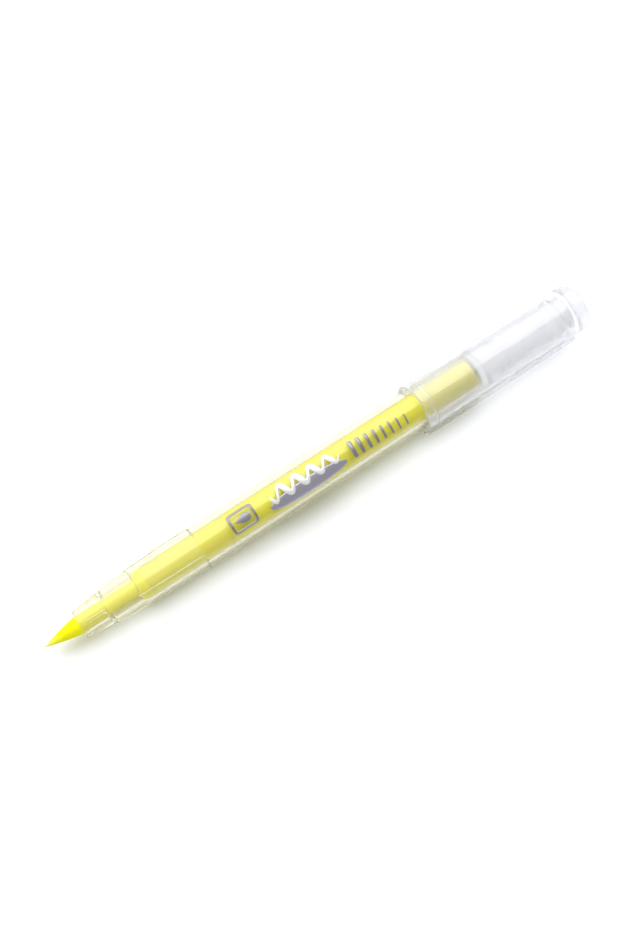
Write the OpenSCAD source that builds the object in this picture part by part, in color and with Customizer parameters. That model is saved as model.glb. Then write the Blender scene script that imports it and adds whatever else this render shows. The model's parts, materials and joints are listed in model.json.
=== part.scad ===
// A clear-barrelled brush highlighter, lying on its side with its cap posted on
// the tail. The pen's axis is X, the nib points to -X and +Z is up. The origin is
// on the axis, midway along the bare barrel between the nose and the cap's rim.

/* [Nib] */
// Length of nib that stands out of the nose
nib_out = 9.5; // [7:0.1:12]
// Diameter of the nib where it enters the nose
nib_d = 4.8; // [4.6:0.1:4.9]
// Diameter of the nib's root, held inside the nose
root_d = 4.6; // [4.4:0.1:4.6]
// How far inside the nose the nib bends
nib_pivot_in = 0.4; // [0.2:0.1:0.6]
// Diameter of the fibre rod that feeds the nib
relay_d = 4.3; // [3.8:0.1:4.4]

/* [Nose] */
// Length of the nose cone outside the barrel
nose_len = 33.8; // [30:0.1:38]
// Diameter of the nose at its front rim
nose_front_d = 7.2; // [6.8:0.1:7.4]
// Length of the solid front that grips the nib
nose_grip_len = 6.9; // [6:0.1:7.2]
// Distance from the rim to the step that the inner cap seals on
seal_at = 8.1; // [7.8:0.1:8.6]
// Distance from the rim to the start of the friction ribs
ribs_at = 15; // [14:0.1:18]
// Distance from the rim to the land that the cap seats on
land_at = 23.3; // [22.5:0.1:25]

/* [Barrel] */
// Outside diameter of the barrel
barrel_d = 11.4; // [11.3:0.1:11.4]
// Length of the barrel tube
barrel_len = 83.8; // [70:0.1:100]
// Inside diameter of the barrel
barrel_bore_d = 8.3; // [8.2:0.1:8.6]
// Diameter of the tail that the cap is posted on
tail_d = 11; // [10.8:0.1:11]
// Length of the tail plug outside the tube
plug_head_len = 3; // [2.5:0.1:4]

/* [Reservoir] */
// Diameter of the ink reservoir with its film
reservoir_d = 8; // [7.4:0.1:8]
// Thickness of the film round the fibre
film_t = 0.1; // [0.08:0.01:0.15]

/* [Cap] */
// Length of the cap
cap_len = 56.2; // [54:0.1:60]
// Outside diameter of the cap
cap_d = 13.9; // [13.7:0.1:14.4]
// Inside diameter of the cap
cap_bore_d = 11.8; // [11.8:0.1:12]
// How far the posted cap reaches over the tail
cap_over = 19.2; // [18:0.1:20]
// Length of the crown that closes the cap
crown_len = 4.4; // [3.5:0.1:6]

/* [Clip] */
// Width of the clip
clip_w = 5; // [4:0.1:6]
// Thickness of the clip
clip_t = 0.9; // [0.7:0.05:1.2]
// Gap between the clip and the cap
clip_gap = 0.25; // [0.2:0.05:0.5]
// Turn of the clip from the top of the pen, towards -Y
clip_turn = 131; // [120:1:140]
// Length of the block that joins the clip to the cap
clip_root_len = 4.2; // [3:0.1:5]

/* [Hidden] */

// Stations along the axis
bare_len = barrel_len + plug_head_len - cap_over;
x_barrel = -bare_len / 2;
x_rim = bare_len / 2;
x_nose = x_barrel - nose_len;
x_tip = x_nose - nib_out;
x_pivot = x_nose + nib_pivot_in;
x_seam = x_barrel + barrel_len;
x_tail = x_seam + plug_head_len;
x_step = x_rim - 0.2;
x_cap_end = x_rim + cap_len;
x_crown = x_cap_end - crown_len;
x_clip_root = x_crown - clip_root_len;
x_reservoir = x_nose + 16;
x_film = x_nose + 18.5;
x_relay = x_nose + nose_grip_len + 0.5;

// Radii
nib_r = nib_d / 2;
root_r = root_d / 2;
relay_r = relay_d / 2;
barrel_r = barrel_d / 2;
bore_r = barrel_bore_d / 2;
tail_r = tail_d / 2;
reservoir_r = reservoir_d / 2;
fibre_r = reservoir_r - film_t;
cap_r = cap_d / 2;
cap_bore_r = cap_bore_d / 2;
clip_in_r = cap_r + clip_gap;
clip_out_r = clip_in_r + clip_t;
step_foot_r = 4.58;
step_r = 4.86;
land_foot_r = 5.42;
land_r = 5.53;
nose_end_r = 5.58;
nose_bore_r = 4.05;
nose_throat_r = 3.6;
chamber_r = 3.3;
fibre_front_r = 3.4;
spigot_r = 4.9;
plug_r = tail_r - 0.05;
bead_r = tail_r + 0.1;
liner_r = 4.75;
liner_in_r = 4;
liner_lip_r = 5.3;
liner_throat_r = 5.25;
liner_taper_r = 4.9;

// Fits and small sizes
ball_gap = 0.05;
relief_r = nib_r + 0.1;
root_at = nib_pivot_in + 1.2;
spigot_len = 8;
plug_spigot_len = 6;
rib_rise = 0.12;
rib_w = 0.5;
vent_w = 0.8;
vent_depth = 0.3;
bead_at = 3.1;
liner_at = 20.4;
eps = 0.01;
turn_fn = 96;

// Points of a circular arc about c from angle a0 to a1
function arc(c, r, a0, a1, n = 6) =
    [for (i = [0:n]) let (a = a0 + (a1 - a0) * i / n) c + r * [cos(a), sin(a)]];

// Radius of the nib a share t of the way from its tip to its pivot
function nib_at(t) = nib_r * t * (1.45 - 0.45 * t);

// A solid of revolution about X, from [radius, x] points
module turned(profile) {
    rotate([0, 90, 0]) rotate_extrude($fn = turn_fn) polygon(profile);
}

// A cylinder about X between two stations
module rod(x0, x1, r) {
    translate([x0, 0, 0]) rotate([0, 90, 0]) cylinder(h = x1 - x0, r = r, $fn = turn_fn);
}

// The children, turned about the axis from the top towards -Y
module at_turn(a) {
    rotate([a, 0, 0]) children();
}

// Outside of the nose, raised by rise, from the front rim to the barrel
function nose_outline(rise) = concat(
    [[0, x_nose]],
    arc([nose_front_d / 2 - 0.8 + rise, x_nose + 0.8], 0.8, -90, 0),
    [[step_foot_r + rise, x_nose + seal_at - 0.1], [step_r + rise, x_nose + seal_at + 0.15],
     [land_foot_r + rise, x_nose + land_at - 0.15], [land_r + rise, x_nose + land_at + 0.15],
     [nose_end_r + rise, x_barrel], [0, x_barrel]]);

module nib_point() {
    pivot_len = x_pivot - x_tip;
    steps = 14;
    side = [for (i = [1:steps]) let (t = 0.12 + 0.88 * i / steps)
        [nib_at(t), x_tip + t * pivot_len]];
    color("yellow") union() {
        turned(concat([[0, x_tip], [0.26, x_tip + 0.08], [0.41, x_tip + 0.3]],
                      side, [[0, x_pivot]]));
        translate([x_pivot, 0, 0]) sphere(r = nib_r, $fn = turn_fn);
    }
}

module nib_root() {
    color("yellow") difference() {
        rod(x_nose + root_at, x_relay, root_r);
        translate([x_pivot, 0, 0]) sphere(r = nib_r + ball_gap, $fn = turn_fn);
    }
}

module relay_core() {
    x_end = x_reservoir + 6;
    color("khaki") turned([[0, x_relay], [relay_r, x_relay], [relay_r, x_end - 1.2],
                           [relay_r - 0.7, x_end], [0, x_end]]);
}

module nose_cone() {
    color("gainsboro", 0.4) difference() {
        union() {
            turned(nose_outline(0));
            intersection() {
                turned(nose_outline(rib_rise));
                for (i = [0:2]) at_turn(45 + 120 * i)
                    translate([x_nose + ribs_at, -rib_w / 2, 0])
                        cube([x_barrel - x_nose - ribs_at, rib_w, barrel_r]);
            }
            rod(x_barrel - eps, x_barrel + spigot_len, spigot_r);
        }
        turned([[0, x_nose - 1], [relief_r + 0.3, x_nose - 1], [relief_r + 0.3, x_nose],
                [relief_r, x_nose + 0.3], [relief_r, x_nose + root_at],
                [root_r, x_nose + root_at], [root_r, x_nose + nose_grip_len],
                [chamber_r, x_nose + nose_grip_len + 0.4], [chamber_r, x_reservoir],
                [nose_throat_r, x_reservoir], [nose_bore_r, x_film - 0.3],
                [nose_bore_r, x_barrel + spigot_len + 1], [0, x_barrel + spigot_len + 1]]);
        for (i = [0:2]) at_turn(30 + 120 * i)
            translate([x_nose + root_at, -vent_w / 2, 0])
                cube([nose_grip_len - root_at + 0.2, vent_w, root_r + vent_depth]);
    }
}

module reservoir_fibre() {
    x_end = x_tail - 1.1;
    x_hole = x_reservoir + 6;
    color("gold") difference() {
        turned([[0, x_reservoir], [fibre_front_r, x_reservoir], [fibre_r, x_film],
                [fibre_r, x_end], [0, x_end]]);
        turned([[0, x_reservoir - 1], [relay_r, x_reservoir - 1], [relay_r, x_hole - 1.2],
                [relay_r - 0.7, x_hole], [0, x_hole]]);
    }
}

module reservoir_film() {
    x_end = x_tail - 1.1;
    color("lemonchiffon", 0.5) difference() {
        rod(x_film, x_end, reservoir_r);
        rod(x_film - 1, x_end + 1, fibre_r);
    }
}

module barrel() {
    color("gainsboro", 0.4) difference() {
        turned([[0, x_barrel], [barrel_r - 0.1, x_barrel], [barrel_r, x_barrel + 0.15],
                [barrel_r, x_step], [tail_r, x_step + 0.2],
                [tail_r, x_seam - 0.15], [tail_r - 0.1, x_seam], [0, x_seam]]);
        rod(x_barrel - 1, x_seam + 1, bore_r);
        rod(x_barrel - 1, x_barrel + spigot_len + 0.2, spigot_r);
        rod(x_seam - plug_spigot_len - 0.2, x_seam + 1, spigot_r);
    }
}

module tail_plug() {
    edge = 0.9;
    color("gainsboro", 0.4) difference() {
        union() {
            turned(concat([[0, x_seam], [plug_r, x_seam]],
                          arc([plug_r - edge, x_tail - edge], edge, 0, 90),
                          [[0, x_tail]]));
            rod(x_seam - plug_spigot_len, x_seam + eps, spigot_r);
        }
        rod(x_seam - plug_spigot_len - 1, x_tail - 1, reservoir_r + 0.1);
    }
}

module inner_cap() {
    x0 = x_rim + liner_at;
    x_end = x_crown - 0.5;
    flare_r = cap_bore_r - 0.08;
    color("whitesmoke", 0.5) turned([
        [liner_lip_r, x0], [flare_r, x0], [flare_r, x0 + 1.4], [liner_r, x0 + 8.8],
        [liner_r, x_end], [0, x_end], [0, x_end - 0.8], [liner_in_r, x_end - 0.8],
        [liner_in_r, x0 + 9], [liner_taper_r, x0 + 4.8], [liner_throat_r, x0 + 1.4]]);
}

module cap_shell() {
    edge = 0.4;
    color("aliceblue", 0.35) difference() {
        union() {
            turned(concat([[0, x_rim]], arc([cap_r - edge, x_rim + edge], edge, -90, 0),
                          [[cap_r, x_crown], [0, x_crown]]));
            intersection() {
                rod(x_clip_root, x_crown, clip_out_r);
                at_turn(clip_turn) translate([x_clip_root, -clip_w / 2, 0])
                    cube([clip_root_len, clip_w, clip_out_r + 1]);
            }
        }
        turned([[0, x_rim - 1], [cap_bore_r + 0.35, x_rim - 1], [cap_bore_r + 0.35, x_rim],
                [cap_bore_r, x_rim + 0.6], [cap_bore_r, x_rim + bead_at - 0.5],
                [bead_r, x_rim + bead_at - 0.2], [bead_r, x_rim + bead_at + 0.2],
                [cap_bore_r, x_rim + bead_at + 0.5], [cap_bore_r, x_crown + 1],
                [0, x_crown + 1]]);
    }
}

module cap_crown() {
    edge = 1;
    spigot = 4;
    color("aliceblue", 0.35) difference() {
        union() {
            turned(concat([[0, x_crown], [cap_r, x_crown]],
                          arc([cap_r - edge, x_cap_end - edge], edge, 0, 90),
                          [[0, x_cap_end]]));
            rod(x_crown - spigot, x_crown + eps, cap_bore_r);
        }
        rod(x_crown - spigot - 1, x_crown - 0.4, liner_r + 0.07);
    }
}

module clip_arm() {
    x_free = x_rim + 0.1;
    pad = 0.15;
    color("aliceblue", 0.5) intersection() {
        union() {
            difference() {
                rod(x_free, x_clip_root, clip_out_r);
                rod(x_free - 1, x_clip_root + 1, clip_in_r);
            }
            difference() {
                rod(x_free + 1, x_free + 4, clip_in_r + 0.2);
                rod(x_free, x_free + 5, clip_in_r - pad);
            }
        }
        at_turn(clip_turn) {
            translate([x_free + clip_w / 2, -clip_w / 2, 0])
                cube([x_clip_root - x_free - clip_w / 2, clip_w, clip_out_r + 1]);
            translate([x_free + clip_w / 2, 0, 0])
                cylinder(h = clip_out_r + 1, r = clip_w / 2, $fn = 64);
        }
    }
}

nib_point();
nib_root();
relay_core();
nose_cone();
reservoir_fibre();
reservoir_film();
barrel();
tail_plug();
inner_cap();
cap_shell();
cap_crown();
clip_arm();
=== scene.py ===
"""Looks of a clear-barrelled brush highlighter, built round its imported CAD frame.

The pen's axis is X, the nib points to -X and +Z is up. A turn about the axis is measured from the
top of the pen towards -Y. Lengths are in metres, and MM turns millimetres into them.
"""
import json
import math

import bmesh
import bpy
import numpy as np
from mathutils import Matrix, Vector


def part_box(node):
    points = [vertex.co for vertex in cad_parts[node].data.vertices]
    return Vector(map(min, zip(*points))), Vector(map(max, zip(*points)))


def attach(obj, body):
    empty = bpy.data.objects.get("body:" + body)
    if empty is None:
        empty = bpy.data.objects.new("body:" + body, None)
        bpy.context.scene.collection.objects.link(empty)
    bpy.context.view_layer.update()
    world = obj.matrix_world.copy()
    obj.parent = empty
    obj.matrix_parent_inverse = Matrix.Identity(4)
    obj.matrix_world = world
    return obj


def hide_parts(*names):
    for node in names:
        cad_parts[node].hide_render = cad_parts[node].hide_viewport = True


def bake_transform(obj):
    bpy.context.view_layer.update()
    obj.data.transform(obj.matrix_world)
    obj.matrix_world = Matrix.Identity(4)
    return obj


bl_info = {
    "name": "Clear Brush Highlighter",
    "version": (1, 0, 0),
    "blender": (4, 5, 0),
    "location": "View3D > Sidebar > Brush Pen",
    "description": "Builds the finished surfaces of a clear brush highlighter on its CAD frame",
    "category": "Add Mesh",
}

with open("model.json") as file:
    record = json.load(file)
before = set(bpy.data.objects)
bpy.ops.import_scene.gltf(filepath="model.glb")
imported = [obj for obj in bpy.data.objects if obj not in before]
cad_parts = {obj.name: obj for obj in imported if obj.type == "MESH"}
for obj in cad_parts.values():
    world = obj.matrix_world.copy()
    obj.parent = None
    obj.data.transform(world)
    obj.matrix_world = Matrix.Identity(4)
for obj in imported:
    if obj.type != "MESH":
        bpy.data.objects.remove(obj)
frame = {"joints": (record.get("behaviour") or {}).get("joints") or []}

MM = 0.001


def span(node, axis=0):
    """The lowest and highest place of a CAD node along one axis."""
    low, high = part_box(node)
    return low[axis], high[axis]


def joint_place(name):
    """Where a joint of the record has its axis, in metres."""
    return next(joint["pos_m"] for joint in frame["joints"] if joint["name"] == name)


# Stations along the axis, from the nib's tip to the end of the cap
TIP = span("nib_point")[0]
NOSE = span("nose_cone")[0]
PIVOT = joint_place("nib_flex")[0]
ROOT_END = span("nib_root")[1]
FEED_END = span("relay_core")[1]
FIBRE = span("reservoir_fibre")[0]
FILM = span("reservoir_film")[0]
BARREL = span("barrel")[0]
SEAM = span("barrel")[1]
FIBRE_END = span("reservoir_fibre")[1]
TAIL = span("tail_plug")[1]
RIM = span("cap_shell")[0]
LINER = span("inner_cap")[0]
LINER_END = span("inner_cap")[1]
CLIP_ROOT = span("clip_arm")[1]
CROWN = span("cap_shell")[1]
CAP_END = span("cap_crown")[1]

# Radii, from the frame where a node's side gives them
NIB_R = span("nib_point", 2)[1]
ROOT_R = span("nib_root", 2)[1]
FEED_R = span("relay_core", 2)[1]
FIBRE_R = span("reservoir_fibre", 2)[1]
FILM_R = span("reservoir_film", 2)[1]
BARREL_R = span("barrel", 2)[1]
PLUG_R = span("tail_plug", 2)[1]
CAP_R = span("cap_crown", 2)[1]
LINER_R = span("inner_cap", 2)[1]
SPIGOT_R = 4.9 * MM
BORE_R = 4.15 * MM
CAP_BORE_R = 5.9 * MM
LINER_SEAT = 4.75 * MM

# Stations that no node begins or ends at: the nose's grip, seal step and cap land, the
# ends of the barrel's two seats, and the step of the barrel at the cap's rim
GRIP_END = NOSE + 6.9 * MM
SEAL_STEP = NOSE + 8.1 * MM
CAP_LAND = NOSE + 23.3 * MM
FRONT_SEAT = BARREL + 8.2 * MM
REAR_SEAT = SEAM - 6.2 * MM
TAIL_STEP = RIM - 0.2 * MM

# The clip's place round the cap, and its two faces
CLIP_TURN = math.radians(131)
CLIP_IN_R = CAP_R + 0.25 * MM
CLIP_OUT_R = CAP_R + 1.15 * MM
CLIP_W = 5 * MM


# ---------------------------------------------------------------- settings

def length(name, description, millimetres):
    """A length setting, shown in the scene's units."""
    return bpy.props.FloatProperty(
        name=name, description=description, default=millimetres * MM, unit="LENGTH", precision=5)


def share(name, description, default, low=0.0, high=1.0):
    """A plain number between two limits."""
    return bpy.props.FloatProperty(
        name=name, description=description, default=default, min=low, max=high)


def angle(name, description, degrees):
    """An angle setting."""
    return bpy.props.FloatProperty(
        name=name, description=description, default=math.radians(degrees), unit="ROTATION")


def linear(hex_code):
    """The linear colour of an sRGB hex value."""
    channels = np.array([int(hex_code[i:i + 2], 16) for i in (1, 3, 5)]) / 255
    low = channels / 12.92
    high = ((channels + 0.055) / 1.055) ** 2.4
    return tuple(np.where(channels <= 0.04045, low, high))


def colour(name, description, hex_code):
    """A colour setting with an sRGB default."""
    return bpy.props.FloatVectorProperty(
        name=name, description=description, default=linear(hex_code), size=3, min=0, max=1,
        subtype="COLOR")


class NibSettings(bpy.types.PropertyGroup):
    point_length: length("Tip length", "Length of the nib's rounded point", 0.5)
    fullness: share("Fullness", "How far the nib's side bulges over a straight cone", 0.45)
    slack: length("Slack", "Air between the nib's root and its bore", 0.03)
    ink: colour("Ink", "Bonded fibre soaked with fluorescent ink", "#F6F20C")
    pale: colour("Point", "The thin, drier point of the nib", "#F4EE78")


class FeedSettings(bpy.types.PropertyGroup):
    fibre: colour("Fibre", "Ink-soaked fibre of the reservoir", "#FAF51C")
    rod: colour("Rod", "Ink-soaked fibre of the feed rod", "#FAF63A")
    crimp: length("Crimp", "How far the film's heat-sealed front rings stand out", 0.05)
    film: colour("Film", "Clear film wrapped round the fibre", "#FFFFF2")


class BodySettings(bpy.types.PropertyGroup):
    seat_gap: length("Seat gap", "Room left between two clear pieces that fit together", 0.02)
    edge: length("Edge", "Rounding of the moulded edges", 0.12)
    ribs: bpy.props.IntProperty(name="Ribs", description="Friction ribs round the nose", default=3)
    rib_width: length("Rib width", "Width of a friction rib", 0.5)
    rib_rise: length("Rib rise", "Height of a friction rib", 0.17)
    vents: bpy.props.IntProperty(name="Vents", description="Air grooves round the nib", default=3)
    vent_width: length("Vent width", "Width of an air groove", 0.8)
    vent_depth: length("Vent depth", "Depth of an air groove", 0.3)
    haze: share("Haze", "How milky each face of the barrel is", 0.012)
    nose_haze: share("Nose haze", "How milky each face of the thick nose is", 0.08)
    plastic: colour("Plastic", "Body of the clear polypropylene", "#F2EFD8")
    shade: colour("Shade", "What one face of the plastic lets through of a lamp", "#FBFBFA")
    roughness: share("Roughness", "Blur of the moulded faces", 0.08)


class CapSettings(bpy.types.PropertyGroup):
    edge: length("Rim edge", "Rounding of the cap's rim", 0.4)
    crown_edge: length("Crown edge", "Rounding of the cap's closed end", 1.0)
    haze: share("Haze", "How milky each face of the cap is", 0.1)
    plastic: colour("Plastic", "Body of the clear polystyrene", "#F5F5F7")
    shade: colour("Shade", "What one face of the plastic lets through of a lamp", "#FAFAFA")
    roughness: share("Roughness", "Blur of the cap's faces", 0.16)
    liner: colour("Liner", "Body of the inner cap's polypropylene", "#FBFBFC")
    liner_roughness: share("Liner roughness", "Blur of the inner cap's faces", 0.12)


class ClipSettings(bpy.types.PropertyGroup):
    squareness: share("Squareness", "Power of the section: 2 is an ellipse", 7.0, 2.0, 12.0)
    pad: length("Pad", "How far the pad near the free end stands in", 0.15)
    bury: length("Bury", "How deep the root sits in the cap", 0.05)


class PrintSettings(bpy.types.PropertyGroup):
    ink_thickness: length("Ink thickness", "Thickness of the printed ink", 0.02)
    grey: colour("Grey", "Grey metallic ink of the oval", "#CBC9D8")
    silver: colour("Silver", "Silver ink of the badge and the stroke scale", "#A6A5AA")
    white: colour("White", "Pale silver ink of the wavy stroke", "#F0F0EE")
    roughness: share("Roughness", "Blur of the ink's shine", 0.28)
    badge_at: length("Badge place", "Middle of the badge along the pen", -21.4)
    badge_size: length("Badge size", "Length of the badge", 7.2)
    oval_at: length("Oval place", "Middle of the oval along the pen", -2.5)
    oval_length: length("Oval length", "Length of the oval", 23.2)
    oval_width: length("Oval width", "Width of the oval round the barrel", 3.9)
    scale_at: length("Stroke scale place", "First stroke of the stroke scale", 12.0)
    turn: angle("Turn", "Turn of the print's middle line", 38)


class StageSettings(bpy.types.PropertyGroup):
    distance: length("Distance", "From the camera to the point it looks at", 261.33)
    slant: angle("Slant", "Turn of the view along the pen, towards the nib", 14.49)
    lean: angle("Lean", "Turn of the view from the top towards -Y", 21.3)
    look_x: length("Look at X", "Where on the axis plane the camera looks, along the pen", 2.05)
    look_y: length("Look at Y", "Where on the axis plane the camera looks, across the pen", 2.41)
    lens: bpy.props.FloatProperty(
        name="Lens", description="Focal length on a 36 mm sensor", default=39.25)
    floor: colour("Floor", "Plain white paper", "#F1F3F7")
    softbox: bpy.props.FloatProperty(
        name="Softbox", description="Radiance of the softbox", default=1.45)
    fill: bpy.props.FloatProperty(
        name="Fill", description="Irradiance of the soft light that brings the paper to white",
        default=0.95)


# ---------------------------------------------------------------- shapes

def filleted(corners, closed=False, steps=6, lead=0.1 * MM):
    """The points of an outline whose corners are rounded off.

    corners holds a row of x, radius and fillet for each corner. Its arc is tangent to both of its
    runs: the centre lies on the bisector, at the fillet over the sine of half the angle, and the
    arc turns the two spokes from the centre to the tangent points into each other. A point a little
    way along each run, the lead, keeps smooth shading flat between the arcs. In an open outline
    the first and last corners stay as they are.
    """
    corners = np.array(corners, float)
    point, fillet = corners[:, :2], corners[:, 2:]
    back = np.roll(point, 1, axis=0) - point
    ahead = np.roll(point, -1, axis=0) - point
    back_run = np.linalg.norm(back, axis=1, keepdims=True)
    ahead_run = np.linalg.norm(ahead, axis=1, keepdims=True)
    back, ahead = back / back_run, ahead / ahead_run
    half = np.arccos(np.clip((back * ahead).sum(1, keepdims=True), -1, 1)) / 2
    shortest = np.minimum(back_run, ahead_run)
    reach = np.minimum(np.maximum(fillet, 1e-7) / np.tan(half), 0.45 * shortest)
    radius = reach * np.tan(half)
    middle = back + ahead
    centre = point + middle / np.linalg.norm(middle, axis=1, keepdims=True) * radius / np.sin(half)
    first, last = point + back * reach - centre, point + ahead * reach - centre
    bend = (math.pi - 2 * half)[:, None]
    part = np.linspace(0, 1, steps + 1)[None, :, None]
    arc = (first[:, None] * np.sin((1 - part) * bend) + last[:, None] * np.sin(part * bend))
    arc = centre[:, None] + arc / np.sin(bend)
    ease = reach + np.minimum(lead, 0.3 * (shortest - reach))
    rows = np.concatenate(
        [(point + back * ease)[:, None], arc, (point + ahead * ease)[:, None]], axis=1)
    if closed:
        return rows.reshape(-1, 2)
    return np.concatenate([point[:1], rows[1:-1].reshape(-1, 2), point[-1:]])


def finer(outline, step, end=math.inf):
    """The outline with points no further apart than step along it, wherever x is short of end."""
    run = np.linalg.norm(np.diff(outline, axis=0), axis=1)
    along = np.concatenate([[0], np.cumsum(run)])
    extra = np.arange(0, along[-1], step)
    extra = extra[np.interp(extra, along, outline[:, 0]) < end]
    places = np.unique(np.concatenate([along, extra]))
    return np.stack([np.interp(places, along, outline[:, k]) for k in (0, 1)], axis=1)


def lathe(outline, around=256, relief=None, gather=0.0, lobes=3, first=math.pi / 4):
    """The grid that an outline of x and radius sweeps about the pen's axis.

    At a turn a, y is minus radius times sin a and z is radius times cos a. relief(x, radius, a)
    is added to the radius. gather draws the columns together round evenly spaced lobes.
    """
    x, radius = outline[:, :1], outline[:, 1:]
    even = np.linspace(0, 2 * math.pi, around, endpoint=False)[None]
    turn = even - gather / lobes * np.sin(lobes * (even - first))
    if relief:
        radius = np.maximum(radius + relief(x, radius, turn), 0)
    return np.stack(np.broadcast_arrays(x, -radius * np.sin(turn), radius * np.cos(turn)), axis=-1)


def ramp(value, low, high):
    """0 below low, 1 above high and a smooth step between them."""
    t = np.clip((value - low) / (high - low), 0, 1)
    return t * t * (3 - 2 * t)


def band(value, low, high, soft):
    """1 between low and high, falling smoothly to 0 over the length soft inside each end."""
    return ramp(value, low, low + soft) * (1 - ramp(value, high - soft, high))


def spoke(turn, count, first):
    """The turn from the nearest of count evenly spaced spokes, the first of them at first."""
    pitch = 2 * math.pi / count
    return (turn - first + pitch / 2) % pitch - pitch / 2


def skin(name, grid, wrap_rows=False, wrap_columns=True):
    """A mesh object over a grid of points, with its poles closed and its faces outwards."""
    rows, columns = grid.shape[:2]
    index = np.arange(rows * columns).reshape(rows, columns)
    if wrap_rows:
        index = np.vstack([index, index[:1]])
    if wrap_columns:
        index = np.hstack([index, index[:, :1]])
    quads = np.stack([index[:-1, :-1], index[:-1, 1:], index[1:, 1:], index[1:, :-1]], axis=-1)
    mesh = bpy.data.meshes.new(name)
    mesh.from_pydata(grid.reshape(-1, 3).tolist(), [], quads.reshape(-1, 4).tolist())
    work = bmesh.new()
    work.from_mesh(mesh)
    bmesh.ops.remove_doubles(work, verts=work.verts, dist=1e-7)
    bmesh.ops.recalc_face_normals(work, faces=work.faces)
    work.to_mesh(mesh)
    work.free()
    mesh.shade_smooth()
    piece = bpy.data.objects.new(name, mesh)
    bpy.context.scene.collection.objects.link(piece)
    return piece


def joined(name, parts):
    """One object from several, with their meshes together."""
    work = bmesh.new()
    for part in parts:
        work.from_mesh(part.data)
        bpy.data.objects.remove(part)
    mesh = bpy.data.meshes.new(name)
    work.to_mesh(mesh)
    work.free()
    piece = bpy.data.objects.new(name, mesh)
    bpy.context.scene.collection.objects.link(piece)
    return piece


def fit(piece, material, slot, body, *nodes):
    """Gives a finished piece its material, and sets it on its body in place of nodes; slot is not
    used.
    """
    piece.data.materials.append(material)
    if body:
        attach(piece, body)
    if nodes:
        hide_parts(*nodes)
    return piece


# ---------------------------------------------------------------- materials

def add(tree, kind, inputs=None, **settings):
    """Adds a node. settings are its own values, inputs are plain values or sockets to link."""
    node = tree.nodes.new(kind)
    for key, value in settings.items():
        setattr(node, key, value)
    for key, value in (inputs or {}).items():
        if isinstance(value, bpy.types.NodeSocket):
            tree.links.new(value, node.inputs[key])
        else:
            node.inputs[key].default_value = value
    return node


def blank(name):
    """A material with only its output node, and that node."""
    material = bpy.data.materials.new(name)
    material.use_nodes = True
    tree = material.node_tree
    tree.nodes.clear()
    return material, tree, add(tree, "ShaderNodeOutputMaterial")


def grain(tree, size, stretch=(1, 1, 1), detail=3.0, rough=0.5):
    """Noise of one real size on the piece's own coordinates, drawn out where stretch is small."""
    place = add(tree, "ShaderNodeTexCoord").outputs["Object"]
    turned = add(tree, "ShaderNodeMapping", {"Vector": place, "Scale": stretch})
    return add(tree, "ShaderNodeTexNoise", {
        "Vector": turned.outputs[0], "Scale": 1 / size, "Detail": detail, "Roughness": rough,
    }).outputs["Fac"]


def clear_plastic(name, body_colour, shade, ior, roughness, haze, ripple, ripple_size):
    """Clear moulded plastic, with a little haze.

    The eye sees real refraction with a faint ripple from the mould. Light from lamps, and light
    between matt surfaces, goes straight through each face and loses only the shade, so that what
    is inside is lit evenly.
    """
    material, tree, output = blank(name)
    ripples = grain(tree, ripple_size, (0.25, 1, 1))
    bump = add(tree, "ShaderNodeBump", {
        "Height": ripples, "Strength": 1.0, "Distance": ripple})
    blur = add(tree, "ShaderNodeMapRange", {
        "Value": grain(tree, 3 * MM), "From Min": 0.35, "From Max": 0.7,
        "To Min": roughness * 0.7, "To Max": roughness * 1.5})
    glass = add(tree, "ShaderNodeBsdfPrincipled", {
        "Base Color": (*body_colour, 1), "IOR": ior, "Transmission Weight": 1 - haze,
        "Roughness": blur.outputs[0], "Normal": bump.outputs[0]})
    path = add(tree, "ShaderNodeLightPath")
    for ray, passed in (("Is Shadow Ray", shade), ("Is Diffuse Ray", (0.95, 0.95, 0.95))):
        straight = add(tree, "ShaderNodeBsdfTransparent", {"Color": (*passed, 1)})
        glass = add(tree, "ShaderNodeMixShader", {
            0: path.outputs[ray], 1: glass.outputs[0], 2: straight.outputs[0]})
    tree.links.new(glass.outputs[0], output.inputs["Surface"])
    return material


def close_joint():
    """Two clear faces pressed so close that no light turns there: a plain straight way through."""
    material, tree, output = blank("close_joint_of_clear_faces")
    straight = add(tree, "ShaderNodeBsdfTransparent", {"Color": (1, 1, 1, 1)})
    tree.links.new(straight.outputs[0], output.inputs["Surface"])
    return material


def close(piece, *seats):
    """Gives the faces inside the seats the material of a close joint.

    A seat is a ring: its ends along the axis, and its inner and outer radius.
    """
    mesh = piece.data
    mesh.materials.append(bpy.data.materials.get("close_joint_of_clear_faces") or close_joint())
    centre = np.empty(3 * len(mesh.polygons))
    mesh.polygons.foreach_get("center", centre)
    x, y, z = centre.reshape(-1, 3).T
    radius = np.hypot(y, z)
    inside = np.zeros(len(x), bool)
    for low, high, inner, outer in seats:
        inside |= (x > low) & (x < high) & (radius > inner) & (radius < outer)
    mesh.polygons.foreach_set("material_index", inside.astype(np.int32))
    return piece


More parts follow.
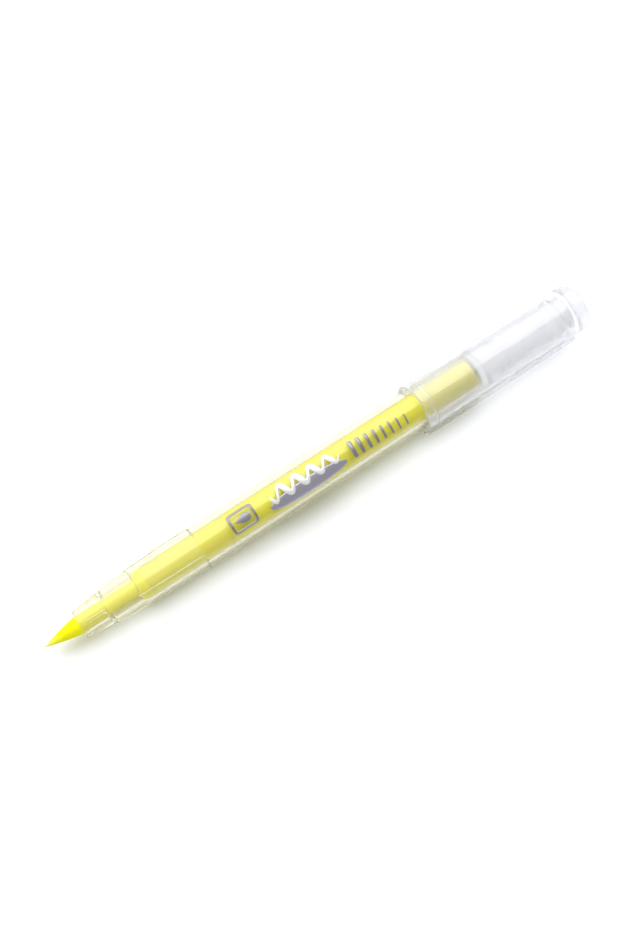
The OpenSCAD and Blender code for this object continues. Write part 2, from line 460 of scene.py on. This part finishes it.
def soaked_fibre(name, ink, streak, pale=None, painted_glow=0.0):
    """Bonded fibre soaked with fluorescent ink: matt, with fine streaks along the fibres.

    The streaks are the bundles of fibre, pale is the colour of a thin, drier point, and painted_glow
    is painted light.
    """
    material, tree, output = blank(name)
    bundles = grain(tree, streak, (0.04, 1, 1), 4.0, 0.6)
    depth = add(tree, "ShaderNodeMapRange", {
        "Value": bundles, "From Min": 0.3, "From Max": 0.7, "To Min": 0.0, "To Max": 1.0})
    darker = tuple(np.array(ink) * (0.86, 0.84, 0.7))
    tone = add(tree, "ShaderNodeMix", {
        0: depth.outputs[0], 6: (*darker, 1), 7: (*ink, 1)}, data_type="RGBA")
    if pale:
        place = add(tree, "ShaderNodeTexCoord").outputs["Object"]
        x = add(tree, "ShaderNodeSeparateXYZ", {0: place}).outputs[0]
        dry = add(tree, "ShaderNodeMapRange", {
            "Value": x, "From Min": TIP + 0.3 * MM, "From Max": TIP + 4.5 * MM,
            "To Min": 0.8, "To Max": 0.0})
        tone = add(tree, "ShaderNodeMix", {
            0: dry.outputs[0], 6: tone.outputs[2], 7: (*pale, 1)}, data_type="RGBA")
    bump = add(tree, "ShaderNodeBump", {
        "Height": bundles, "Strength": 0.6, "Distance": 0.05 * MM})
    # Painted glow: painted_glow sets an even emission in the ink's colour, the same whatever the
    # lamps
    fibre = add(tree, "ShaderNodeBsdfPrincipled", {
        "Base Color": tone.outputs[2], "Roughness": 0.75, "Specular IOR Level": 0.2,
        "Emission Color": (*ink, 1), "Emission Strength": painted_glow, "Normal": bump.outputs[0]})
    tree.links.new(fibre.outputs[0], output.inputs["Surface"])
    return material


def metallic_ink(name, ink, roughness, metal=0.9):
    """Screen-printed silver ink: fine metal flakes that mirror the lamps softly."""
    material, tree, output = blank(name)
    # Flakes are about 0.02 mm across, and are drawn at 0.08 mm to show
    flakes = grain(tree, 0.08 * MM, (1, 1, 1), 2.0)
    bump = add(tree, "ShaderNodeBump", {
        "Height": flakes, "Strength": 0.5, "Distance": 0.004 * MM})
    blur = add(tree, "ShaderNodeMapRange", {
        "Value": flakes, "From Min": 0.3, "From Max": 0.7,
        "To Min": roughness * 0.85, "To Max": roughness * 1.2})
    metal = add(tree, "ShaderNodeBsdfPrincipled", {
        "Base Color": (*ink, 1), "Metallic": metal, "Roughness": blur.outputs[0],
        "Normal": bump.outputs[0]})
    tree.links.new(metal.outputs[0], output.inputs["Surface"])
    return material


# ---------------------------------------------------------------- pieces

def nib_outline(nib):
    """The nib from its point to the end of its root.

    At a share t of the way from the tip to the pivot, the radius is the root's radius times
    t (1 + f - f t), a parabola with fullness f. The point itself is a quarter ellipse.
    """
    t = np.linspace(0, 1, 81)
    point = np.maximum(t, nib.point_length / (PIVOT - TIP))
    radius = NIB_R * point * (1 + nib.fullness - nib.fullness * point)
    radius = radius * np.sqrt(1 - (1 - t / point) ** 2)
    x = TIP + t * (PIVOT - TIP)
    held = ROOT_R - nib.slack
    root = filleted([
        (PIVOT, NIB_R, 0), (PIVOT + 0.3 * MM, NIB_R, 1 * MM), (NOSE + 2.4 * MM, held, 2 * MM),
        (ROOT_END, held, 0.15 * MM), (ROOT_END, 0, 0)])
    return np.concatenate([np.stack([x, radius], axis=1), root[1:]])


class BRUSHPEN_OT_nib(bpy.types.Operator):
    """Make the flexible fibre nib, from its point to the root held in the nose"""
    bl_idname = "brushpen.nib"
    bl_label = "Nib"

    def execute(self, context):
        nib = context.scene.brushpen_nib
        material = soaked_fibre("ink_soaked_polyester_nib", tuple(nib.ink), 0.22 * MM,
                                tuple(nib.pale), painted_glow=0.04)
        piece = skin("nib_cone", lathe(finer(nib_outline(nib), 0.25 * MM), 192))
        fit(piece, material, "nib_fibre", None, "nib_point", "nib_root")
        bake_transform(piece)
        return {"FINISHED"}


class BRUSHPEN_OT_feed(bpy.types.Operator):
    """Make the feed rod, the ink reservoir and the film wrapped round it"""
    bl_idname = "brushpen.feed"
    bl_label = "Feed and reservoir"

    def execute(self, context):
        feed = context.scene.brushpen_feed
        rod = soaked_fibre("ink_soaked_polyester_rod", tuple(feed.rod), 0.25 * MM, painted_glow=0.05)
        fibre = soaked_fibre("ink_soaked_acetate_fibre", tuple(feed.fibre), 0.35 * MM, painted_glow=0.05)
        film = clear_plastic("clear_polypropylene_film", tuple(feed.film), (0.99, 0.99, 0.97),
                             1.49, 0.05, 0.02, 0.002 * MM, 1.5 * MM)
        chamfer = 0.7 * MM
        rod_outline = filleted([
            (ROOT_END + 0.02 * MM, 0, 0), (ROOT_END + 0.02 * MM, FEED_R, 0.15 * MM),
            (FEED_END - 1.2 * MM, FEED_R, 0.3 * MM), (FEED_END, FEED_R - chamfer, 0.15 * MM),
            (FEED_END, 0, 0)])
        fit(skin("feed_rod", lathe(rod_outline, 128)), rod, "ink_fibre", "pen", "relay_core")

        hole = FEED_R + 0.02 * MM
        body_r = FIBRE_R - 0.02 * MM
        fibre_outline = filleted([
            (FIBRE, hole, 0.1 * MM), (FIBRE, 3.4 * MM, 0.35 * MM), (FILM, body_r, 0.6 * MM),
            (FIBRE_END, body_r, 0.25 * MM), (FIBRE_END, 1 * MM, 0.2 * MM),
            (FEED_END + 0.1 * MM, 1 * MM, 0.1 * MM), (FEED_END, hole - chamfer, 0.1 * MM),
            (FEED_END - 1.2 * MM, hole, 0.1 * MM)], closed=True)
        fit(skin("ink_reservoir", lathe(fibre_outline, 192), wrap_rows=True), fibre,
            "ink_fibre", "pen", "reservoir_fibre")

        def crimped(x, radius, turn):
            rings = band(x, FILM + 0.25 * MM, FILM + 0.75 * MM, 0.2 * MM)
            rings = rings + band(x, FILM + 1.3 * MM, FILM + 1.8 * MM, 0.2 * MM)
            return feed.crimp * rings

        film_outline = filleted([
            (FIBRE_END, FIBRE_R, 0.02 * MM), (FILM, FIBRE_R, 0.02 * MM),
            (FILM, FILM_R, 0.03 * MM), (FIBRE_END, FILM_R, 0.03 * MM)], closed=True)
        film_outline = finer(film_outline, 0.08 * MM, end=FILM + 2.6 * MM)
        fit(skin("reservoir_wrap", lathe(film_outline, 192, crimped), wrap_rows=True), film,
            "reservoir_film", "pen", "reservoir_film")
        return {"FINISHED"}


def nose_outline(body):
    """The nose all round its wall: front rim, seal step, cap land, spigot, and the bore back."""
    edge, gap = body.edge, body.seat_gap
    spigot_end = FRONT_SEAT - gap
    return filleted([
        (NOSE, 2.7 * MM, 0.1 * MM), (NOSE, 3.6 * MM, 0.8 * MM),
        (SEAL_STEP - 0.1 * MM, 4.58 * MM, edge), (SEAL_STEP + 0.15 * MM, 4.86 * MM, edge),
        (CAP_LAND - 0.15 * MM, 5.42 * MM, edge), (CAP_LAND + 0.15 * MM, 5.53 * MM, edge),
        (BARREL - gap, 5.58 * MM, edge), (BARREL - gap, SPIGOT_R, 0.05 * MM),
        (spigot_end, SPIGOT_R, 0.05 * MM), (spigot_end, 4.05 * MM, 0.02 * MM),
        (FILM - 0.3 * MM, 4.05 * MM, 0.3 * MM), (FIBRE, 3.6 * MM, 0.1 * MM),
        (FIBRE, 3.3 * MM, 0.1 * MM), (GRIP_END + 0.15 * MM, 3.3 * MM, 0.1 * MM),
        (GRIP_END, ROOT_R, 0.1 * MM), (NOSE + 2.4 * MM, ROOT_R, 2 * MM),
        (NOSE + 0.6 * MM, NIB_R + 0.04 * MM, 0.6 * MM),
        (NOSE + 0.3 * MM, NIB_R + 0.04 * MM, 0.2 * MM)], closed=True)


class BRUSHPEN_OT_body(bpy.types.Operator):
    """Make the nose with its ribs and vents, the barrel tube and the tail plug"""
    bl_idname = "brushpen.body"
    bl_label = "Nose, barrel and tail"

    def execute(self, context):
        body = context.scene.brushpen_body
        edge, gap = body.edge, body.seat_gap
        plastic = clear_plastic("moulded_clear_polypropylene", tuple(body.plastic),
                                tuple(body.shade), 1.49, body.roughness, body.haze,
                                0.006 * MM, 2.5 * MM)
        nose_plastic = clear_plastic(
            "thick_clear_polypropylene", tuple(body.plastic), tuple(body.shade), 1.49,
            body.roughness, body.nose_haze, 0.006 * MM, 2.5 * MM)

        def nose_relief(x, radius, turn):
            across = spoke(turn, body.ribs, math.pi / 4) * radius
            rib = band(across, -body.rib_width / 2, body.rib_width / 2, 0.14 * MM)
            rib = rib * band(x, NOSE + 15 * MM, BARREL - 0.05 * MM, 0.5 * MM)
            rib = rib * ramp(radius, 5.0 * MM, 5.05 * MM)
            across = spoke(turn, body.vents, math.pi / 6) * radius
            vent = band(across, -body.vent_width / 2, body.vent_width / 2, 0.16 * MM)
            vent = vent * band(x, NOSE + 1.55 * MM, NOSE + 7.3 * MM, 0.3 * MM)
            vent = vent * (1 - ramp(radius, ROOT_R + 0.1 * MM, ROOT_R + 0.25 * MM))
            return body.rib_rise * rib + body.vent_depth * vent

        nose = finer(nose_outline(body), 0.5 * MM)
        front = (BARREL - 0.1 * MM, FRONT_SEAT + 0.05 * MM, 4.8 * MM, 4.95 * MM)
        front_end = (FRONT_SEAT - 0.05 * MM, FRONT_SEAT + 0.05 * MM, 4.17 * MM, 4.95 * MM)
        front_face = (BARREL - 0.05 * MM, BARREL + 0.02 * MM, 4.9 * MM, 5.45 * MM)
        rear = (REAR_SEAT - 0.05 * MM, SEAM + 0.1 * MM, 4.8 * MM, 4.95 * MM)
        rear_end = (REAR_SEAT - 0.05 * MM, REAR_SEAT + 0.05 * MM, 4.17 * MM, 4.95 * MM)
        rear_face = (SEAM - 0.05 * MM, SEAM + 0.02 * MM, 4.9 * MM, 5.35 * MM)
        nose_piece = skin("nose_moulding", lathe(nose, 288, nose_relief, gather=0.45),
                          wrap_rows=True)
        fit(nose_piece, nose_plastic, "clear_barrel_plastic", "pen", "nose_cone")
        close(nose_piece, front, front_face, front_end)

        tube = filleted([
            (BARREL, SPIGOT_R, 0.05 * MM), (BARREL, BARREL_R, edge),
            (TAIL_STEP, BARREL_R, edge), (TAIL_STEP + 0.2 * MM, BARREL_R - 0.2 * MM, edge),
            (SEAM - gap, BARREL_R - 0.2 * MM, edge / 2), (SEAM - gap, SPIGOT_R, 0.05 * MM),
            (REAR_SEAT, SPIGOT_R, 0.05 * MM), (REAR_SEAT, BORE_R, 0.02 * MM),
            (FRONT_SEAT, BORE_R, 0.02 * MM), (FRONT_SEAT, SPIGOT_R, 0.05 * MM),
        ], closed=True)
        tube_piece = skin("barrel_tube", lathe(tube), wrap_rows=True)
        fit(tube_piece, plastic, "clear_barrel_plastic", "pen", "barrel")
        close(tube_piece, front, front_face, front_end, rear, rear_face, rear_end)

        plug = filleted([
            (TAIL - 1 * MM, 0, 0), (TAIL - 1 * MM, BORE_R, 0.3 * MM),
            (REAR_SEAT + gap, BORE_R, 0.02 * MM), (REAR_SEAT + gap, SPIGOT_R, 0.05 * MM),
            (SEAM, SPIGOT_R, 0.05 * MM), (SEAM, PLUG_R, edge / 2), (TAIL, PLUG_R, 0.9 * MM),
            (TAIL, 0, 0)])
        plug_piece = skin("tail_stopper", lathe(plug))
        fit(plug_piece, plastic, "clear_barrel_plastic", "pen", "tail_plug")
        close(plug_piece, rear, rear_face, rear_end)
        return {"FINISHED"}


class BRUSHPEN_OT_cap(bpy.types.Operator):
    """Make the clear cap, its crown and the inner cap that seals the nib"""
    bl_idname = "brushpen.cap"
    bl_label = "Cap"

    def execute(self, context):
        cap = context.scene.brushpen_cap
        gap = context.scene.brushpen_body.seat_gap
        plastic = clear_plastic("moulded_clear_polystyrene", tuple(cap.plastic), tuple(cap.shade),
                                1.57, cap.roughness, cap.haze, 0.005 * MM, 3 * MM)
        bead = CAP_BORE_R - 0.3 * MM
        shell = filleted([
            (RIM, CAP_BORE_R + 0.35 * MM, 0.08 * MM), (RIM, CAP_R, cap.edge),
            (CROWN, CAP_R, 0.1 * MM), (CROWN, CAP_BORE_R, 0.05 * MM),
            (RIM + 3.6 * MM, CAP_BORE_R, 0.3 * MM), (RIM + 3.3 * MM, bead, 0.15 * MM),
            (RIM + 2.9 * MM, bead, 0.15 * MM), (RIM + 2.6 * MM, CAP_BORE_R, 0.3 * MM),
            (RIM + 0.6 * MM, CAP_BORE_R, 0.2 * MM)], closed=True)
        seat = (CROWN - 3.9 * MM, CROWN + 0.1 * MM, 5.8 * MM, 5.95 * MM)
        seat_face = (CROWN - 0.05 * MM, CROWN + 0.05 * MM, 5.9 * MM, CAP_R - 0.15 * MM)
        shell_piece = skin("cap_tube", lathe(finer(shell, 1 * MM)), wrap_rows=True)
        fit(shell_piece, plastic, "clear_cap_plastic", "cap", "cap_shell")
        close(shell_piece, seat, seat_face)

        spigot = CROWN - 4 * MM
        socket = LINER_SEAT + 0.07 * MM
        crown = filleted([
            (CROWN - 0.4 * MM, 0, 0), (CROWN - 0.4 * MM, socket, 0.2 * MM),
            (spigot, socket, 0.1 * MM), (spigot, CAP_BORE_R - gap, 0.2 * MM),
            (CROWN + gap, CAP_BORE_R - gap, 0.05 * MM), (CROWN + gap, CAP_R, 0.1 * MM),
            (CAP_END, CAP_R, cap.crown_edge), (CAP_END, 0, 0)])
        crown_piece = skin("cap_end_crown", lathe(crown))
        fit(crown_piece, plastic, "clear_cap_plastic", "cap", "cap_crown")
        close(crown_piece, seat, seat_face)

        liner_plastic = clear_plastic(
            "moulded_natural_polypropylene", tuple(cap.liner), tuple(cap.shade), 1.49,
            cap.liner_roughness, 1.2 * cap.haze, 0.008 * MM, 2 * MM)
        mouth, cone_end, wall = LINER + 1.4 * MM, LINER + 8.8 * MM, 0.8 * MM
        liner = filleted([
            (LINER_END - wall, 0, 0), (LINER_END - wall, 4 * MM, 0.5 * MM),
            (LINER + 9 * MM, 4 * MM, 1 * MM), (LINER + 4.8 * MM, 4.9 * MM, 0.6 * MM),
            (mouth, 5.3 * MM, 0.5 * MM), (LINER, 5.6 * MM, 0.08 * MM),
            (LINER, LINER_R, 0.08 * MM), (mouth, LINER_R, 0.3 * MM),
            (cone_end, LINER_SEAT, 1.5 * MM), (LINER_END, LINER_SEAT, 0.4 * MM),
            (LINER_END, 0, 0)])
        fit(skin("liner_cup", lathe(liner)), liner_plastic, "liner_plastic", "cap_liner",
            "inner_cap")
        return {"FINISHED"}


def clip_grid(clip):
    """The clip and its root, as a rounded bar carried along the cap.

    The section is a superellipse bent round the axis: with power n, the two half sizes are
    multiplied by the signed 2/n-th powers of the cosine and sine. The free end is a half circle
    in plan, the root drops into the cap's wall, and both ends shrink to close.
    """
    free, end = span("clip_arm")[0], CROWN - 0.1 * MM
    round_end = np.linspace(0.02, 1, 12) * math.pi / 2
    nose = free + CLIP_W / 2 * (1 - np.cos(round_end))
    straight = np.linspace(nose[-1] + 0.3 * MM, CLIP_ROOT - 2 * MM, 60)
    root = np.linspace(CLIP_ROOT - 1.9 * MM, end - 0.3 * MM, 40)
    shrink = np.linspace(0, 1, 7)[1:] * math.pi / 2
    last = end - 0.3 * MM * (1 - np.sin(shrink))
    x = np.concatenate([nose, straight, root, last])[:, None]
    inset = np.concatenate([
        np.zeros(len(nose) + len(straight) + len(root)), 0.3 * MM * (1 - np.cos(shrink))])[:, None]
    plan = np.sqrt(np.clip(1 - np.clip(1 - (x - free) / (CLIP_W / 2), 0, 1) ** 2, 0, 1))
    inner = CLIP_IN_R - clip.pad * band(x, free + 0.9 * MM, free + 4.1 * MM, 0.6 * MM)
    buried = CAP_R - clip.bury
    inner = inner + (buried - inner) * ramp(x, CLIP_ROOT - 0.5 * MM, CLIP_ROOT + 0.9 * MM)
    half_height = (CLIP_OUT_R - inner) / 2 - inset
    middle = (CLIP_OUT_R + inner) / 2
    half_width = CLIP_W / 2 * plan - inset
    thin = np.minimum(1, 0.35 + 0.65 * ramp(x, free, free + 0.35 * MM))
    q = np.linspace(0, 2 * math.pi, 56, endpoint=False)[None]
    power = 2 / clip.squareness
    across = np.sign(np.cos(q)) * np.abs(np.cos(q)) ** power * half_width
    up = np.sign(np.sin(q)) * np.abs(np.sin(q)) ** power * half_height * thin
    radius = middle + up
    turn = CLIP_TURN + across / middle
    grid = np.stack(np.broadcast_arrays(x, -radius * np.sin(turn), radius * np.cos(turn)), axis=-1)
    caps = [np.broadcast_to(grid[k].mean(axis=0), grid[k].shape)[None] for k in (0, -1)]
    return np.concatenate([caps[0], grid, caps[1]])


class BRUSHPEN_OT_clip(bpy.types.Operator):
    """Make the springy clip and the root that joins it to the cap"""
    bl_idname = "brushpen.clip"
    bl_label = "Clip"

    def execute(self, context):
        clip = context.scene.brushpen_clip
        piece = skin("clip_bar", clip_grid(clip))
        fit(piece, bpy.data.materials["moulded_clear_polystyrene"], "clear_cap_plastic", None,
            "clip_arm")
        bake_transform(piece)
        return {"FINISHED"}


# ---------------------------------------------------------------- print

def printed(name, left, right, thickness, across=6, loop=False):
    """A patch of ink between two curves on the barrel, as a thin closed slab.

    left and right hold x and the distance round the barrel from its top, towards -Y. The patch
    runs straight from one to the other, follows the barrel's curve, and is as thick as the ink.
    """
    part = np.linspace(0, 1, across)[None, :, None]
    top = left[:, None] * (1 - part) + right[:, None] * part
    flat = np.concatenate([top, top[:, ::-1]], axis=1)
    low = BARREL_R + 0.01 * MM
    height = np.repeat([low + thickness, low], across)[None]
    turn = flat[..., 1] / BARREL_R
    grid = np.stack([flat[..., 0], -height * np.sin(turn), height * np.cos(turn)], axis=-1)
    return skin(name, grid, wrap_rows=loop)


def stroke(points, width):
    """The two sides of a stroke of varying width along a line of points."""
    along = np.gradient(points, axis=0)
    along = along / np.linalg.norm(along, axis=1, keepdims=True)
    side = np.stack([-along[:, 1], along[:, 0]], axis=1) * width[:, None] / 2
    return points - side, points + side


def rounded_frame(middle, half, power=5.0, count=96):
    """A superellipse about a middle point: a square with well-rounded corners."""
    q = np.linspace(0, 2 * math.pi, count, endpoint=False)
    c, s = np.cos(q), np.sin(q)
    return np.array(middle) + np.array(half) * np.stack([
        np.sign(c) * np.abs(c) ** (2 / power), np.sign(s) * np.abs(s) ** (2 / power)], axis=1)


class BRUSHPEN_OT_print(bpy.types.Operator):
    """Print the barrel: a badge with a drop, an oval under a wavy stroke, and a stroke scale"""
    bl_idname = "brushpen.print"
    bl_label = "Print"

    def execute(self, context):
        ink = context.scene.brushpen_print
        thick = ink.ink_thickness
        grey = metallic_ink("printed_grey_metallic_ink", tuple(ink.grey), ink.roughness)
        silver = metallic_ink("printed_silver_ink", tuple(ink.silver), ink.roughness)
        white = metallic_ink("printed_pale_silver_ink", tuple(ink.white), ink.roughness, 0.4)
        line = ink.turn * BARREL_R

        # A soft square frame round a drop, the sign for ink
        middle = (ink.badge_at, 0.52 * line)
        half = ink.badge_size / 2
        rise = 0.76 * half
        bar = 0.65 * MM
        outer = rounded_frame(middle, (half, rise), 9)
        inner = rounded_frame(middle, (half - bar, rise - bar), 9)
        t = np.linspace(0, 1, 33)
        drop_x = ink.badge_at + half * (1.25 * t - 0.62)
        drop_w = half * 0.85 * t ** 1.1 * np.sqrt(np.clip(1 - t, 0, 1)) * 1.05
        drop_mid = np.full_like(t, middle[1])
        fit(joined("badge_print", [
            printed("frame", outer, inner, thick, 3, loop=True),
            printed("drop", np.stack([drop_x, drop_mid - drop_w], 1),
                    np.stack([drop_x, drop_mid + drop_w], 1), thick, 8),
        ]), silver, None, "pen")

        q = np.linspace(0, math.pi, 65)
        oval_x = ink.oval_at - ink.oval_length / 2 * np.cos(q)
        oval_w = ink.oval_width / 2 * np.sin(q)
        fit(printed("oval_print", np.stack([oval_x, line - oval_w], 1),
                    np.stack([oval_x, line + oval_w], 1), thick, 16), grey, None, "pen")

        # A wavy stroke of a loaded brush over the oval: thick coming down, thin going up
        t = np.linspace(0, 1, 241)
        phase = 2 * math.pi * 4.5 * t
        wave = np.stack([
            ink.oval_at + ink.oval_length * (0.9 * t - 0.45),
            0.33 * line + 1.9 * MM * np.sin(phase) * (1 - 0.3 * t)], axis=1)
        width = (1.35 + 0.5 * np.cos(phase)) * MM * np.sqrt(np.clip(4 * t * (1 - t), 0, 1)) ** 0.5
        sides = stroke(wave, width)
        wavy = printed("wavy_stroke_print", *sides, 1.4 * thick, 4)
        fit(wavy, white, None, "pen")

        # A scale of upright strokes that step down in width
        strokes = []
        pitch = 2.35 * MM
        for k in range(8):
            x = ink.scale_at + pitch * k
            tall = (4.9 - 0.25 * k) * MM
            t = np.linspace(0, 1, 25)
            base = line + 0.85 * MM
            points = np.stack([np.full_like(t, x), base - tall * (1 - t)], axis=1)
            wide = (1.15 - 0.1 * k) * MM * np.clip(4 * t * (1 - t) * 6, 0, 1) ** 0.5
            strokes.append(printed("stroke", *stroke(points, wide), thick, 4))
        fit(joined("stroke_scale_print", strokes), silver, None, "pen")
        return {"FINISHED"}


# ---------------------------------------------------------------- stage

def white_paper(paper):
    """Smooth white paper with a painted glow: an emission that grows with distance from the pen so
    that the floor stays pale.
    """
    material, tree, output = blank("white_paper_floor")
    place = add(tree, "ShaderNodeTexCoord").outputs["Object"]
    far = add(tree, "ShaderNodeVectorMath", {0: place}, operation="LENGTH").outputs["Value"]
    # Painted light: the paper gives off light that grows from 0.2 m to 0.9 m away from the pen
    painted_glow = add(tree, "ShaderNodeMapRange", {
        "Value": far, "From Min": 0.2, "From Max": 0.9, "To Min": 0.0, "To Max": 0.75})
    surface = add(tree, "ShaderNodeBsdfPrincipled", {
        "Base Color": (*paper, 1), "Roughness": 0.9, "Specular IOR Level": 0.1,
        "Emission Color": (1, 1, 1, 1), "Emission Strength": painted_glow.outputs[0]})
    tree.links.new(surface.outputs[0], output.inputs["Surface"])
    return material


class BRUSHPEN_OT_stage(bpy.types.Operator):
    """Lay the floor under the pen, and set the softbox, the dim room and the camera"""
    bl_idname = "brushpen.stage"
    bl_label = "Stage"

    def execute(self, context):
        stage = context.scene.brushpen_stage
        scene = context.scene
        # The pen rests on the front edge of its barrel and on the lower edge of the cap's rim
        fall = (CAP_R - BARREL_R) / (RIM + 0.4 * MM - BARREL - 0.12 * MM)
        half = 3.0
        corners = np.array([(-half, -half), (half, -half), (-half, half), (half, half)])
        height = -BARREL_R - fall * (corners[:, 0] - BARREL)
        grid = np.concatenate([corners, height[:, None]], axis=1).reshape(2, 2, 3)
        floor = skin("floor", grid, wrap_columns=False)
        floor.data.materials.append(white_paper(tuple(stage.floor)))
        if floor.data.polygons[0].normal.z < 0:
            floor.data.flip_normals()

        # A softbox over and behind the pen, turned a little about the vertical, whose near
        # edge is just past the vertical
        across, along, far = 0.66, 0.95, 0.5
        lamp = bpy.data.lights.new("softbox", "AREA")
        lamp.shape = "RECTANGLE"
        lamp.size, lamp.size_y = along, across
        lamp.energy = stage.softbox * math.pi * along * across
        softbox = bpy.data.objects.new("softbox", lamp)
        tilt, skew = math.radians(26), math.radians(18)
        softbox.location = (0.06, far * math.sin(tilt), far * math.cos(tilt))
        softbox.rotation_euler = (-tilt, 0, -skew)
        softbox.visible_camera = False
        scene.collection.objects.link(softbox)

        # Light from the same side that only matt surfaces see
        sun = bpy.data.lights.new("fill", "SUN")
        sun.energy = stage.fill
        sun.angle = math.radians(45)
        fill = bpy.data.objects.new("fill", sun)
        fill.rotation_euler = (-tilt, 0, 0)
        fill.visible_glossy = fill.visible_transmission = False
        scene.collection.objects.link(fill)

        # The room is dim, and dimmer on the camera's side; the camera itself sees plain white
        world = bpy.data.worlds.new("dim_room")
        world.use_nodes = True
        tree = world.node_tree
        tree.nodes.clear()
        way = add(tree, "ShaderNodeTexCoord").outputs["Generated"]
        x, y = add(tree, "ShaderNodeSeparateXYZ", {0: way}).outputs[:2]
        ahead = add(tree, "ShaderNodeMapRange", {
            "Value": x, "From Min": -0.9, "From Max": -0.3, "To Min": 0.9, "To Max": 0.0})
        room = add(tree, "ShaderNodeMapRange", {
            "Value": y, "From Min": -0.6, "From Max": -0.1, "To Min": 0.36, "To Max": 0.62})
        room = add(tree, "ShaderNodeMath", {
            0: ahead.outputs[0], 1: room.outputs[0]}, operation="MAXIMUM")
        dim = add(tree, "ShaderNodeBackground", {"Color": (1, 1, 1, 1), "Strength": room.outputs[0]})
        white = add(tree, "ShaderNodeBackground", {"Color": (1, 1, 1, 1), "Strength": 1.0})
        path = add(tree, "ShaderNodeLightPath")
        seen = add(tree, "ShaderNodeMixShader", {
            0: path.outputs["Is Camera Ray"], 1: dim.outputs[0], 2: white.outputs[0]})
        output = add(tree, "ShaderNodeOutputWorld")
        tree.links.new(seen.outputs[0], output.inputs["Surface"])
        scene.world = world

        back = Vector((-math.sin(stage.slant), -math.cos(stage.slant) * math.sin(stage.lean),
                       math.cos(stage.slant) * math.cos(stage.lean)))
        lens = bpy.data.cameras.new("camera")
        lens.lens = stage.lens
        lens.clip_start, lens.clip_end = 0.01, 20
        camera = bpy.data.objects.new("camera", lens)
        camera.location = Vector((stage.look_x, stage.look_y, 0)) + back * stage.distance
        camera.rotation_mode = "QUATERNION"
        camera.rotation_quaternion = (-back).to_track_quat("-Z", "Y")
        scene.collection.objects.link(camera)
        scene.camera = camera

        # White stays white, and a ray may cross every clear wall of the capped pen
        scene.view_settings.view_transform = "Standard"
        scene.cycles.max_bounces = 24
        scene.cycles.transmission_bounces = 24
        scene.cycles.glossy_bounces = 8
        scene.cycles.transparent_max_bounces = 32
        return {"FINISHED"}


# ---------------------------------------------------------------- add-on

SETTINGS = {
    "brushpen_nib": NibSettings, "brushpen_feed": FeedSettings, "brushpen_body": BodySettings,
    "brushpen_cap": CapSettings, "brushpen_clip": ClipSettings, "brushpen_print": PrintSettings,
    "brushpen_stage": StageSettings,
}
OPERATORS = (BRUSHPEN_OT_nib, BRUSHPEN_OT_feed, BRUSHPEN_OT_body, BRUSHPEN_OT_cap,
             BRUSHPEN_OT_clip, BRUSHPEN_OT_print, BRUSHPEN_OT_stage)


class BRUSHPEN_PT_panel(bpy.types.Panel):
    """Lists the pieces of the pen with their settings"""
    bl_idname = "BRUSHPEN_PT_panel"
    bl_label = "Brush Pen"
    bl_space_type = "VIEW_3D"
    bl_region_type = "UI"
    bl_category = "Brush Pen"

    def draw(self, context):
        for operator, (name, settings) in zip(OPERATORS, SETTINGS.items()):
            box = self.layout.box()
            box.operator(operator.bl_idname)
            for key in settings.__annotations__:
                box.prop(getattr(context.scene, name), key)


def register():
    """Adds the settings, the operators and the panel to Blender."""
    for cls in (*SETTINGS.values(), *OPERATORS, BRUSHPEN_PT_panel):
        bpy.utils.register_class(cls)
    for name, settings in SETTINGS.items():
        setattr(bpy.types.Scene, name, bpy.props.PointerProperty(type=settings))


def unregister():
    """Takes them out again."""
    for name in SETTINGS:
        delattr(bpy.types.Scene, name)
    for cls in (BRUSHPEN_PT_panel, *reversed(OPERATORS), *reversed(SETTINGS.values())):
        bpy.utils.unregister_class(cls)


def main():
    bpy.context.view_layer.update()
    register()
    bpy.ops.brushpen.nib()
    bpy.ops.brushpen.feed()
    bpy.ops.brushpen.body()
    bpy.ops.brushpen.cap()
    bpy.ops.brushpen.clip()
    bpy.ops.brushpen.print()
    bpy.ops.brushpen.stage()


if __name__ == "__main__":
    main()
